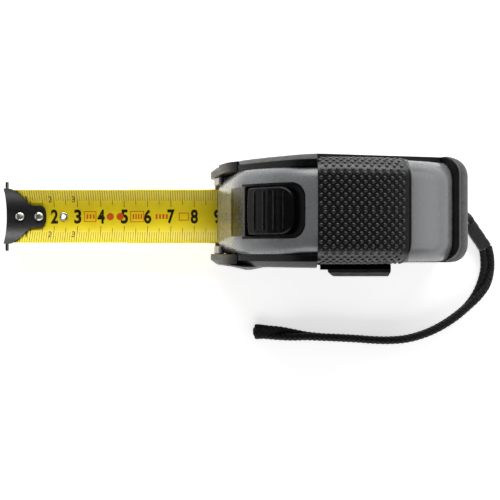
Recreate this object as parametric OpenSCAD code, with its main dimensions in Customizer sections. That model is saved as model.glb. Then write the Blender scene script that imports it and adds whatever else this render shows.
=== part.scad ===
// Tape measure standing on its base, blade out of the front.
// Millimetres. Origin: centre of the case's flat base. +Z up, the blade runs
// out along -X, the belt clip is on the -Y side.

/* [Case] */
// Height of the case above its base
case_h = 79.3; // [78.5:0.1:82]
// Half width of the grey case at the front
grey_half = 16; // [15.6:0.1:16.4]
// Half width of the grey case behind the grip
rear_half = 18.6; // [18.2:0.1:19]
// Half width over the rubber side armour
armour_half = 20.9; // [20.4:0.1:21.4]
// Half width of the flatter belt clip side, behind the front armour
clip_side_half = 19; // [18.9:0.05:19]
// Half width inside the case
inner_half = 14.6; // [14.5:0.05:14.8]
// Half width over the dotted grip saddle
grip_half = 19; // [18.8:0.05:19]
// Depth of the seat that the grip saddle lies in
grip_seat = 1.6; // [1.4:0.1:1.7]
// Thickness of the rubber rear bumper
bumper_t = 2.9; // [1.6:0.1:3.2]

/* [Blade] */
// Radius of the blade's cross curve, underside
blade_r = 15.9; // [15.8:0.05:16]
// Half angle of the blade's cross curve, degrees
blade_a = 45; // [42:0.5:46]
// Blade thickness in the model
blade_t = 0.25; // [0.2:0.01:0.28]
// Height of the blade's underside at its middle
blade_z = 6; // [5.9:0.05:6.1]
// Length of blade that stands out of the mouth
blade_out = 88.8; // [80:0.1:88.8]
// Outer radius of the wound blade
coil_r = 30.5; // [29:0.1:30.5]
// Outer radius of the spool hub
hub_r = 18; // [17.5:0.1:19]

/* [Hook] */
// Half width of the hook's top plate
hook_half = 11.7; // [11:0.1:11.8]
// Half width of the hook's turned-down lip
lip_half = 14.75; // [13.5:0.05:15]
// Thickness of the hook's lip
lip_t = 0.9; // [0.8:0.1:1]
// Thickness of the hook's top plate
plate_t = 0.8; // [0.6:0.1:0.9]
// How far the hook floats on its rivets
hook_float = 1; // [0.8:0.1:1]
// Radius of the rivet shanks
rivet_r = 1.2; // [1:0.1:1.4]

/* [Lock] */
// Half width of the thumb button
button_half = 8.7; // [8.2:0.1:8.8]
// Travel of the thumb button along the slope
lock_travel = 3.6; // [3:0.1:3.6]
// Half width of the lock bezel
bezel_half = 10.2; // [10:0.1:10.4]

/* [Belt clip] */
// Width of the belt clip
clip_w = 26; // [22:0.5:26]
// Left end of the belt clip
clip_x = -8.4; // [-8.4:0.1:-6]

/* [Wrist strap] */
// Diameter of the strap's braided cord
cord_d = 2.7; // [2.4:0.1:2.7]
// Distance between the two legs of the loop
leg_gap = 2.9; // [2.9:0.05:3.1]

/* [Hidden] */
$fn = 64;

grey = [0.56, 0.57, 0.58];
black = [0.07, 0.07, 0.075];
steel = [0.7, 0.7, 0.71];
yellow = [0.93, 0.78, 0.1];

kz = case_h / 79.3;
// rounds an outline by cutting its corners n times
function ease(p, n) = n == 0 ? p : ease([for (i = [0 : len(p) - 1]) let(q = p[(i + 1) % len(p)])
  each [0.75 * p[i] + 0.25 * q, 0.25 * p[i] + 0.75 * q]], n - 1);
function lift(pts) = ease([for (p = pts) [p[0], p[1] * kz]], 2);
// layers of a rounded shoulder: flat to y0, then a quarter ellipse to y1
function shoulder(y0, y1, inset0, drop, n = 6) = concat([[inset0, 0, y0]],
  [for (i = [1 : n]) let(a = 90 * i / n) [inset0 + drop * (1 - cos(a)), y0 + (y1 - y0) * sin(a) - 0.02, y0 + (y1 - y0) * sin(a)]]);

// side profile of the grey case, x and z
body_side = lift([[-47, 0], [-48.4, 2], [-48.2, 14], [-44, 40], [-40.5, 55], [-36, 62],
  [-25, 71], [-13, 77], [-5, 79.3], [5, 79], [20, 75], [31, 69.5], [41, 61.5],
  [46, 53], [48.2, 43], [48.6, 30], [48.6, 6], [46.8, 1.8], [42.6, 0]]);
// side profile of the rubber armour
armour_side = lift([[-46.5, 0], [-50, 1.6], [-51, 5], [-51, 14], [-48.3, 24], [-43, 42],
  [-34.5, 55], [-20.5, 70.5], [-11, 76], [0, 78.2], [10, 77.4], [22, 73.6], [31, 68.7],
  [41, 60.6], [46, 52], [48.2, 42], [48.6, 30], [48.6, 6], [46.8, 1.8], [42.6, 0]]);
// the rubber's upper edge on the sides: the saddle and the grey rear lie above it
over_edge = [[-10, 70], [60, 48.1], [60, 120], [-10, 120]];
// the bumper's own region at the rear
rear_zone = [[38, -5], [60, -5], [60, 61], [42.2, 61], [38, 55]];
// side profile of the space inside
inner_side = [[-45, 3], [-45.4, 14], [-41.5, 40], [-38.2, 53.6], [-35.8, 56.5],
  [-33.3, 58.4], [-14.9, 72.2], [-11, 73.4], [-4, 74.4], [5, 74.3], [19, 71],
  [29, 66], [38.8, 58.4], [43.4, 51], [45.8, 42], [46.2, 30], [46.2, 3]];

// spool centre
cx = 3;
cz = 42;
// centre of the blade's cross curve
bz = blade_z + blade_r;
// front of the mouth guard
mouth_x = -49.3;
// inner face of the hook's lip with the hook pulled out
zero_x = mouth_x + 0.5 - blade_out;
// case screws, x and z
screws = [[-42, 19], [33, 60.5], [32, 20]];
// lock slope: floor of the recess, 3-4-5 slope
slope_x = -36.5;
slope_z = 58.5;
slope_a = atan2(3, 4);
// strap pin
pin_x = 47.4;
pin_z = 14.2;

module slab(pts, inset, y0, y1)
  translate([0, y1, 0]) rotate([90, 0, 0]) linear_extrude(y1 - y0) offset(delta = -inset) polygon(pts);

// layers: [inset, from y, to y]
module stack(pts, layers) hull() for (s = layers) slab(pts, s[0], s[1], s[2]);

module along_y(pts, y0, y1)
  translate([0, y1, 0]) rotate([90, 0, 0]) linear_extrude(y1 - y0) polygon(pts);

module y_rod(x, z, r, y0, y1)
  translate([x, y1, z]) rotate([90, 0, 0]) cylinder(r = r, h = y1 - y0);

module right() mirror([0, 1, 0]) children();

module on_slope() translate([slope_x, 0, slope_z]) rotate([0, -slope_a, 0]) children();

// ---------- case ----------

module front_form() stack(body_side, shoulder(7, grey_half, 0, 4.2));

module rear_form() intersection() {
  stack(body_side, shoulder(11, rear_half, 0, 5.6, 8));
  along_y(over_edge, -1, 30);
  translate([23.5, -1, -1]) cube([60, 40, 120]);
  difference() {
    translate([0, -1, -1]) cube([60, 40, 120]);
    along_y(rear_zone, -5, 50);
  }
}

module seat_form() stack(body_side, shoulder(9, grey_half, grip_seat, 4.4));

module saddle_form() stack(body_side, shoulder(11.6, grip_half, -0.2, 7, 8));

module grip_zone() intersection() {
  translate([-10, -1, 28]) cube([33.5, 40, 90]);
  along_y(over_edge, -5, 50);
}

// recess for the lock, cut in the slope; q makes it larger on every side
module lock_cut(q) {
  on_slope() {
    translate([q - 0.9, -bezel_half - q + 0.9, -q]) cube([20.5, 2 * (bezel_half + q - 0.9), 30]);
    translate([q + 4, -bezel_half - q + 0.9 + 5.5, -q]) cube([24.2, 2 * (bezel_half + q - 0.9 - 5.5), 30]);
    for (s = [-1, 1]) translate([22.7, s * (bezel_half + q - 0.9 - 5.5), -q]) cylinder(r = 5.5, h = 30);
  }
}

// outline of the lock recess seen square to the slope
module lock_outline(half, u0, u1, r) {
  translate([u0, -half]) square([u1 - r - u0, 2 * half]);
  translate([u0, -half + r]) square([u1 - u0, 2 * (half - r)]);
  for (s = [-1, 1]) translate([u1 - r, s * (half - r)]) circle(r = r);
}

module lock_pocket() {
  on_slope() translate([0, 0, -0.9]) linear_extrude(40) lock_outline(bezel_half, 0, 28.3, 5.5);
  // the bezel's apron down the front
  along_y([[-42.5, 50], [-38.6, 51.4], [-35.3, 57.6], [-36.6, 60], [-45, 60]], -bezel_half + 1, bezel_half - 1);
}

module strap_pocket() translate([43.2, -6, 9.1]) cube([20, 12, 9.5]);

module mouth_cut() {
  translate([-60, -12.6, 4.8]) cube([25, 25.2, 9.2]);
  translate([-60, -30, -1]) cube([60 - 46.6, 60, 15]);
}

module case_half() {
  difference() {
    union() {
      difference() {
        union() { front_form(); rear_form(); }
        difference() { grip_zone(); seat_form(); }
        along_y(inner_side, -1, inner_half);
      }
      // screw bosses and the strap pocket's housing
      y_rod(screws[0][0], screws[0][1], 2.4, 0, inner_half);
      for (i = [1, 2]) y_rod(screws[i][0], screws[i][1], 2.6, 0, inner_half);
      translate([41.8, 0, 8.6]) cube([5, 7.4, 11.2]);
    }
    mouth_cut();
    strap_pocket();
    lock_pocket();
    // slot for the lever's stem
    on_slope() translate([4.2, -3.3, -6]) cube([8.2 + 0.1, 6.6, 8]);
    y_rod(pin_x, pin_z, 1.2, -1, 7.4);
  }
}

module case_left() color(grey) difference() {
  case_half();
  for (p = screws) y_rod(p[0], p[1], 1.4, -1, 6);
}

module case_right() color(grey) difference() {
  right() case_half();
  for (p = screws) y_rod(p[0], p[1], 1.4, -30, 1);
  y_rod(screws[1][0], screws[1][1], 2.8, -30, -16.6);
  y_rod(7.5, 50, 1.5, -30, -14);
}

// ---------- rubber ----------

module armour_half_form() difference() {
  stack(armour_side, [[0, grey_half, 18.3], [0.2, 18.3, 18.6], [2.2, 18.6, 20.1], [3.3, 20.1, 20.6], [5.6, 20.6, armour_half]]);
  along_y(over_edge, -5, 50);
  along_y(rear_zone, -5, 50);
  translate([38, -5, -5]) cube([60, 60, 120]);
}

module side_armour_left() color(black) armour_half_form();

module side_armour_right() color(black) difference() {
  right() armour_half_form();
  translate([-10, -40, -1]) cube([80, 40 - clip_side_half, 120]);
  for (i = [0, 2]) y_rod(screws[i][0], screws[i][1], 3.2, -30, -10);
  y_rod(7.5, 50, 1.5, -30, -10);
}

module saddle_half() difference() {
  intersection() { saddle_form(); grip_zone(); }
  seat_form();
}

module grip_saddle_left() color(black) saddle_half();

module grip_saddle_right() color(black) difference() {
  right() saddle_half();
  y_rod(7.5, 50, 1.5, -30, -10);
}

module bumper_half(half) difference() {
  intersection() {
    stack(body_side, shoulder(half - 7, half, -bumper_t, 6, 7));
    along_y(rear_zone, 0, 30);
    translate([0, -1, 0]) cube([80, 50, 100]);
  }
  front_form();
  strap_pocket();
}

module rear_bumper_left() color(black) bumper_half(armour_half);
module rear_bumper_right() color(black) right() bumper_half(clip_side_half);

module mouth_guard() color(grey) difference() {
  translate([mouth_x, -grey_half, 0.4]) cube([-46.6 - mouth_x, 2 * grey_half, 13.6]);
  translate([-60, -12.6, 4.8]) cube([25, 25.2, 20]);
}

// ---------- lock ----------

module lock_bezel() color(black) difference() {
  intersection() {
    lock_pocket();
    union() {
      on_slope() difference() {
        translate([-20, -12, -0.9]) cube([60, 24, 3.3]);
        translate([0, 0, 0]) linear_extrude(20) lock_outline(bezel_half - 0.9, -9, 27.9, 5);
      }
      along_y([[-42.5, 50], [-38.6, 51.4], [-35.3, 57.6], [-36.6, 60], [-45, 60]], -bezel_half + 1, bezel_half - 1);
    }
    union() { front_form(); right() front_form(); }
  }
  on_slope() {
    translate([4.2, -3.3, -6]) cube([8.3, 6.6, 8]);
    translate([-9, -bezel_half + 0.9, 0]) cube([30, 2 * bezel_half - 1.8, 20]);
  }
}

// side outline of the button, along the slope and square to it
button_side = [[3.6, 0.4], [24, 0.4], [24, 1.8], [22.8, 3.1], [19.5, 4.2], [14, 4.7], [8.4, 4.6], [4.8, 4], [3.6, 2.8]];

module lock_button() color(black) on_slope() {
  intersection() {
    along_y(button_side, -button_half, button_half);
    linear_extrude(20) {
      lock_outline(button_half, 5, 24, 5);
      translate([3.6, -button_half + 1.4]) square([5, 2 * button_half - 2.8]);
      for (s = [-1, 1]) translate([5, s * (button_half - 1.4)]) circle(r = 1.4);
    }
  }
  for (p = [[7.8, 4.4], [12.2, 4.6], [16.7, 4.3], [20.6, 3.6]])
    translate([p[0] - 0.5, -7, p[1] - 0.6]) cube([1, 14, 1.1]);
}

module lock_lever() color([0.2, 0.2, 0.2]) {
  along_y([[-33.5, 13.4], [-31, 13.4], [-31, 50], [-28.4, 54.5], [-26.9, 60.1], [-30.2, 57.6], [-33.5, 55.2]], -3, 3);
  on_slope() translate([4.5, -3, -4.7]) cube([4, 6, 5.1]);
  translate([-36.5, -8, 13.4]) cube([6, 16, 1.6]);
}

module brake_pad() color([0.12, 0.12, 0.12]) translate([-37, -11.5, 10.9]) cube([7, 23, 2.5]);

module lock_spring() color(steel) on_slope()
  along_y([[12.6, -4.4], [13, -4.4], [14.6, -2.5], [20, -2.5], [20, -2], [14.2, -2]], -2, 2);

// ---------- spool ----------

module spindle() color([0.3, 0.3, 0.31]) y_rod(cx, cz, 4, -inner_half, inner_half);

module spool_hub() color([0.25, 0.25, 0.26]) difference() {
  y_rod(cx, cz, hub_r, -12.4, 12.4);
  y_rod(cx, cz, hub_r - 1.6, -13, 11.2);
  y_rod(cx, cz, 4.05, -20, 20);
}

module flange() difference() {
  y_rod(cx, cz, 31.5, 12.4, 13.4);
  y_rod(cx, cz, 4.05, 0, 20);
  for (a = [0 : 60 : 300]) y_rod(cx + 24 * cos(a), cz + 24 * sin(a), 3, 0, 20);
}

module spool_flange_left() color([0.25, 0.25, 0.26]) flange();
module spool_flange_right() color([0.25, 0.25, 0.26]) right() flange();

turns = 6;
function coil_pt(t, dr) = let(r = 4.6 + 11 * t / (360 * turns) + dr) [r * cos(t), r * sin(t)];
module mainspring() color(steel)
  translate([cx, 10.6, cz]) rotate([90, 0, 0]) linear_extrude(21.2)
    polygon(concat([for (t = [0 : 18 : 360 * turns]) coil_pt(t, 0)],
                   [for (t = [360 * turns : -18 : 0]) coil_pt(t, 0.35)]));

module blade_coil() color(yellow) difference() {
  y_rod(cx, cz, coil_r, -12.4, 12.4);
  y_rod(cx, cz, hub_r, -20, 20);
}

// ---------- blade ----------

// a strip with the blade's cross curve, from x0 to x1
module strip(x0, x1, r_in, r_out, a)
  translate([x0, 0, bz]) rotate([90, 0, 90]) linear_extrude(x1 - x0) intersection() {
    difference() { circle(r = r_out, $fn = 128); circle(r = r_in, $fn = 128); }
    polygon([[0, 0], [40 * sin(a), -40 * cos(a)], [-40 * sin(a), -40 * cos(a)]]);
  }

rivet_x = [zero_x + 4.9, zero_x + 13];
eyelet_x = zero_x + 23.4;

module blade_front() color(yellow) difference() {
  strip(zero_x + hook_float + 0.1, -44, blade_r - blade_t, blade_r, blade_a);
  for (x = rivet_x) translate([x, 0, 0]) cylinder(r = rivet_r, h = 20);
  translate([eyelet_x, 0, 0]) cylinder(r = 1.1, h = 20);
}

module blade_inner() color(yellow) strip(-86, -3, blade_r + 0.15, blade_r + 0.4, blade_a - 0.5);

// plan outline of the hook's top plate, one half: from the lip back, and out
hook_plan = [[-0.9, 0], [-0.9, hook_half], [1.2, hook_half], [2.6, 11.4], [4.2, 10.4], [5.6, 9.0], [7.2, 7.0],
  [8.6, 5.6], [10.2, 4.8], [13.6, 4.7], [14.7, 4.3], [15.5, 3.4], [15.9, 2.2], [16, 0]];

module end_hook() color([0.13, 0.13, 0.14]) {
  difference() {
    intersection() {
      translate([zero_x - 2, 0, bz]) rotate([90, 0, 90]) linear_extrude(30) difference() {
        circle(r = blade_r - blade_t - 0.1, $fn = 128);
        circle(r = blade_r - blade_t - 0.1 - plate_t, $fn = 128);
      }
      translate([zero_x, 0, 0]) linear_extrude(bz) {
        polygon(hook_plan);
        mirror([0, 1]) polygon(hook_plan);
      }
    }
    for (x = rivet_x) {
      translate([x, 0, 0]) cylinder(r = rivet_r + 0.1, h = 20);
      translate([x - hook_float, 0, 0]) cylinder(r = rivet_r + 0.1, h = 20);
      translate([x - hook_float, -rivet_r - 0.1, 0]) cube([hook_float, 2 * rivet_r + 0.2, 20]);
    }
  }
  translate([zero_x - lip_t, 0, 0]) rotate([90, 0, 90]) linear_extrude(lip_t) difference() {
    union() {
      translate([-hook_half, 2.8]) square([2 * hook_half, 10]);
      translate([-hook_half + 2, 0.8]) square([2 * hook_half - 4, 4]);
      for (s = [-1, 1]) translate([s * (hook_half - 2), 2.8]) circle(r = 2);
      translate([-lip_half, 7.4]) square([2 * lip_half, 1.2]);
      translate([-lip_half + 0.6, 6.8]) square([2 * lip_half - 1.2, 2.4]);
      for (s = [-1, 1], z = [7.4, 8.6]) translate([s * (lip_half - 0.6), z]) circle(r = 0.6, $fn = 24);
    }
    translate([0, bz]) circle(r = blade_r - blade_t - 0.1 - plate_t / 2, $fn = 128);
  }
}

module hook_rivets() color(steel) for (x = rivet_x) translate([x, 0, 0]) {
  translate([0, 0, blade_z + 0.05]) cylinder(r = rivet_r, h = 1.6);
  translate([0, 0, blade_z + 1.45]) cylinder(r = 1.9, h = 0.4);
  translate([0, 0, blade_z + 1.85]) cylinder(r1 = 1.9, r2 = 1.1, h = 0.45);
}

module blade_eyelet() color(steel) translate([eyelet_x, 0, 0]) difference() {
  union() {
    translate([0, 0, blade_z + 0.05]) cylinder(r = 1.1, h = 0.6);
    translate([0, 0, blade_z + 0.4]) cylinder(r = 1.8, h = 0.45);
  }
  cylinder(r = 0.7, h = 20);
}

// ---------- belt clip ----------

// section of the clip, y and z: down the inside, over the top, down the outside
clip_out = [[-19, 38], [-19, 65.2], [-19.8, 66.6], [-21.4, 67], [-22.6, 66.2], [-24.2, 60], [-24.2, 38], [-23.2, 24], [-24.1, 16.6]];
clip_in = [[-23.1, 16.4], [-22.2, 24], [-23.2, 38.1], [-23.2, 59.8], [-21.8, 65.4], [-21.2, 65.9], [-20.4, 65.7], [-20, 64.9], [-20, 38]];

module belt_clip() color(black) difference() {
  translate([clip_x, 0, 0]) rotate([90, 0, 90]) linear_extrude(clip_w) polygon(concat(clip_out, clip_in));
  y_rod(7.5, 50, 1.5, -22, -10);
  y_rod(7.5, 50, 3.6, -30, -22);
  // the outer leg is narrower, with a slanted corner
  translate([0, -21.6, 0]) rotate([90, 0, 0]) linear_extrude(10)
    polygon([[-20, 10], [-1, 10], [1.5, 20], [-2.4, 40], [-2.4, 58], [-6, 67.5], [-20, 67.5]]);
  translate([0, -21.6, 0]) rotate([90, 0, 0]) linear_extrude(10) polygon([[16.5, 10], [14, 20], [17.6, 40], [30, 40], [30, 10]]);
}

module screw_head(r, h) difference() {
  cylinder(r = r, h = h);
  for (a = [0, 90]) rotate([0, 0, a]) translate([-r * 0.62, -0.3, h - 0.8]) cube([r * 1.24, 0.6, 2]);
}

module belt_clip_screw() color(steel) translate([7.5, 0, 50]) rotate([90, 0, 0]) {
  translate([0, 0, 20]) screw_head(2.6, 1.4);
  translate([0, 0, 15]) cylinder(r = 1.5, h = 5.1);
}

module case_screws() color([0.35, 0.35, 0.36]) for (i = [0, 1, 2]) translate([screws[i][0], 0, screws[i][1]]) rotate([90, 0, 0]) {
  translate([0, 0, i == 1 ? 16.6 : grey_half]) screw_head(2.7, 1.5);
  translate([0, 0, -6]) cylinder(r = 1.4, h = i == 1 ? 22.7 : grey_half + 6.1);
}

// ---------- wrist strap ----------

module strap_pin() color(steel) y_rod(pin_x, pin_z, 1.2, -7.4, 7.4);

// tube through a list of points, with n sides and closed ends
function unit(v) = v / norm(v);
function heading(p, i) = unit(p[min(i + 1, len(p) - 1)] - p[max(i - 1, 0)]);
function carry(n, t) = unit(n - (n * t) * t);
function frames(p, i = 0, n = [0, 0, 1], acc = []) = i == len(p) ? acc :
  let(t = heading(p, i), m = carry(n, t)) frames(p, i + 1, m, concat(acc, [[m, cross(t, m)]]));
module tube(p, d, sides = 8) {
  f = frames(p);
  k = len(p);
  v = [for (i = [0 : k - 1]) for (j = [0 : sides - 1])
    p[i] + d / 2 * (cos(360 * j / sides) * f[i][0] + sin(360 * j / sides) * f[i][1])];
  polyhedron(v, concat([[for (j = [0 : sides - 1]) j]],
    [for (i = [0 : k - 2]) for (j = [0 : sides - 1])
      [i * sides + j, (i + 1) * sides + j, (i + 1) * sides + (j + 1) % sides, i * sides + (j + 1) % sides]],
    [[for (j = [sides - 1 : -1 : 0]) (k - 1) * sides + j]]));
}

// middle of the strap on the table, with the angle of its two legs (0 side by
// side, 90 one on the other)
strap_mid = [[67.8, -13.6, 0], [68.6, -17.5, 0], [68.7, -23, 0], [67, -29, 30], [63.6, -34.5, 70],
  [59.5, -39, 90], [54, -43.6, 90], [47, -48, 90], [40, -51, 90], [33, -52.8, 90], [25.5, -53.4, 90],
  [18.5, -53.2, 90], [11.5, -52.7, 90], [4, -52.3, 90], [-3, -52, 90], [-10, -51.5, 80],
  [-16, -51, 50], [-21, -50.5, 20], [-26, -50.1, 0], [-30, -49.8, 0]];
ferrule_z = 2.3;
function mid_xy(i) = [strap_mid[i][0], strap_mid[i][1], 0];
function mid_dir(i) = unit(mid_xy(min(i + 1, len(strap_mid) - 1)) - mid_xy(max(i - 1, 0)));
function side_dir(i) = i == 0 ? [0.83, 0.56, 0] : let(t = mid_dir(i)) [-t[1], t[0], 0];
function leg_z(i) = i == 0 ? ferrule_z : i == 1 ? 1.8 : 1.45;
function low_leg(i) = mid_xy(i) - leg_gap / 2 * cos(strap_mid[i][2]) * side_dir(i) + [0, 0, leg_z(i)];
function high_leg(i) = mid_xy(i) + leg_gap / 2 * cos(strap_mid[i][2]) * side_dir(i)
  + [0, 0, leg_z(i) + leg_gap * sin(strap_mid[i][2])];
last = len(strap_mid) - 1;
strap_route = concat([for (i = [0 : last]) low_leg(i)],
  [for (a = [-54 : 36 : 54]) [-30, -49.8, 1.45] + [-1.6 * cos(a), -leg_gap / 2 * sin(a) * -1, 0]],
  [for (i = [last : -1 : 0]) high_leg(i)]);

module strap_loop() color(black) tube(strap_route, cord_d);

// the short loop from the ferrule round the pin: middle points and half gaps
anchor_mid = [[60.7, -3.1, 2.3], [59.2, -1.5, 4], [57, -0.5, 7.4], [54.5, -0.3, 11.2], [51.5, -0.2, 13.6]];
anchor_gap = [[1.2, 0.8, 0], [1.1, 1, 0.4], [0.9, 1.1, 1], [0.6, 0.9, 1.8], [0, 0.4, 2.5]];
anchor_route = concat([for (i = [0 : 4]) anchor_mid[i] + anchor_gap[i]],
  [for (a = [90 : 36 : 270]) [pin_x + 2.7 * cos(a), 0, pin_z + 2.7 * sin(a)]],
  [for (i = [4 : -1 : 0]) anchor_mid[i] - anchor_gap[i]]);

module strap_anchor_loop() color(black) tube(anchor_route, cord_d);

module strap_ferrule() color([0.18, 0.18, 0.18])
  translate([60.7, -3.1, ferrule_z]) rotate([0, 0, atan2(-10.5, 7.1)]) rotate([90, 0, 90])
    linear_extrude(12.7) hull() for (s = [-1, 1]) for (t = [-1, 1]) translate([s * 1.7, t * 0.7]) circle(r = 1.1, $fn = 32);

case_left();
case_right();
side_armour_left();
side_armour_right();
grip_saddle_left();
grip_saddle_right();
rear_bumper_left();
rear_bumper_right();
mouth_guard();
lock_bezel();
lock_button();
lock_lever();
brake_pad();
lock_spring();
spindle();
spool_hub();
spool_flange_left();
spool_flange_right();
mainspring();
blade_coil();
blade_front();
blade_inner();
end_hook();
hook_rivets();
blade_eyelet();
belt_clip();
belt_clip_screw();
case_screws();
strap_pin();
strap_anchor_loop();
strap_ferrule();
strap_loop();
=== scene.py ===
"""Looks of the tape measure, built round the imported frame."""

import math

import bmesh
import bpy
import numpy as np
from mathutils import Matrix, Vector


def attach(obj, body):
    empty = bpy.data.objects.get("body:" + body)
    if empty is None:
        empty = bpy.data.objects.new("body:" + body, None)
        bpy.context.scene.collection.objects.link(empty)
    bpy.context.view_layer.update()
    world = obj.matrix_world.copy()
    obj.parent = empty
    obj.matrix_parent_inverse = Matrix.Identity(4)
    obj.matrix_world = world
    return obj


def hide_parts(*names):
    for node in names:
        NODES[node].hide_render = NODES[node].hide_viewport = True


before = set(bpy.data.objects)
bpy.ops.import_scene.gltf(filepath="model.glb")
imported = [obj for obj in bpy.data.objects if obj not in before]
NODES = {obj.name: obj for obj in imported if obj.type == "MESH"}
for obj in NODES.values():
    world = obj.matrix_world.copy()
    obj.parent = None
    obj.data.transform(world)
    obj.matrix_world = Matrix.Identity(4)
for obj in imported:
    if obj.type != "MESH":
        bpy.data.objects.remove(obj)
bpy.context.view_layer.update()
MM = 0.001
scene = bpy.context.scene
scene.view_settings.view_transform = "Standard"
scene.view_settings.look = "None"

# ------------------------------------------------------------------ camera
CAM_X, CAM_Y, CAM_Z = -0.03425, -0.01434, 0.430
cam_data = bpy.data.cameras.new("camera")
cam_data.sensor_width = 36.0
cam_data.sensor_height = 36.0
cam_data.lens = 2.35 * 420.0 / 500.0 * 36.0
cam_data.clip_start = 0.01
cam = bpy.data.objects.new("camera", cam_data)
scene.collection.objects.link(cam)
cam.location = (CAM_X, CAM_Y, CAM_Z)
cam.rotation_euler = (0, 0, 0)
scene.camera = cam


# --------------------------------------------------------------- materials
def nodes_of(m):
    m.use_nodes = True
    t = m.node_tree
    return t, t.nodes["Principled BSDF"]


def material(name, color, rough, metallic=0.0, coat=0.0, coat_rough=0.1, ior=1.5, spec=0.5,
             grain=None, var=None, rough_var=None, sheen=0.0, aniso=0.0):
    """grain: [(scale, strength, distance)], var: (scale, amount), rough_var: (scale, amount)."""
    m = bpy.data.materials.new(name)
    t, b = nodes_of(m)
    b.inputs["Base Color"].default_value = (*color, 1)
    b.inputs["Roughness"].default_value = rough
    b.inputs["Metallic"].default_value = metallic
    b.inputs["IOR"].default_value = ior
    b.inputs["Specular IOR Level"].default_value = spec
    b.inputs["Coat Weight"].default_value = coat
    b.inputs["Coat Roughness"].default_value = coat_rough
    b.inputs["Sheen Weight"].default_value = sheen
    b.inputs["Anisotropic"].default_value = aniso
    tc = t.nodes.new("ShaderNodeTexCoord")
    if var:
        n = t.nodes.new("ShaderNodeTexNoise")
        n.inputs["Scale"].default_value = var[0]
        n.inputs["Detail"].default_value = 4
        t.links.new(tc.outputs["Object"], n.inputs["Vector"])
        r = t.nodes.new("ShaderNodeMapRange")
        r.interpolation_type = "SMOOTHSTEP"
        r.inputs["From Min"].default_value = 0.3
        r.inputs["From Max"].default_value = 0.7
        r.inputs["To Min"].default_value = 1 - var[1]
        r.inputs["To Max"].default_value = 1 + var[1]
        t.links.new(n.outputs["Fac"], r.inputs["Value"])
        mx = t.nodes.new("ShaderNodeMix")
        mx.data_type = "RGBA"
        mx.blend_type = "MULTIPLY"
        mx.inputs["Factor"].default_value = 1
        mx.inputs["A"].default_value = (*color, 1)
        t.links.new(r.outputs["Result"], mx.inputs["B"])
        t.links.new(mx.outputs["Result"], b.inputs["Base Color"])
    if rough_var:
        n = t.nodes.new("ShaderNodeTexNoise")
        n.inputs["Scale"].default_value = rough_var[0]
        n.inputs["Detail"].default_value = 5
        t.links.new(tc.outputs["Object"], n.inputs["Vector"])
        r = t.nodes.new("ShaderNodeMapRange")
        r.interpolation_type = "SMOOTHSTEP"
        r.inputs["From Min"].default_value = 0.3
        r.inputs["From Max"].default_value = 0.7
        r.inputs["To Min"].default_value = max(0.02, rough - rough_var[1])
        r.inputs["To Max"].default_value = rough + rough_var[1]
        t.links.new(n.outputs["Fac"], r.inputs["Value"])
        t.links.new(r.outputs["Result"], b.inputs["Roughness"])
    if grain:
        last = None
        for scale, strength, dist in grain:
            n = t.nodes.new("ShaderNodeTexNoise")
            n.inputs["Scale"].default_value = scale
            n.inputs["Detail"].default_value = 3
            t.links.new(tc.outputs["Object"], n.inputs["Vector"])
            bp = t.nodes.new("ShaderNodeBump")
            bp.inputs["Strength"].default_value = strength
            bp.inputs["Distance"].default_value = dist
            t.links.new(n.outputs["Fac"], bp.inputs["Height"])
            if last:
                t.links.new(last.outputs["Normal"], bp.inputs["Normal"])
            last = bp
        t.links.new(last.outputs["Normal"], b.inputs["Normal"])
    return m


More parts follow.
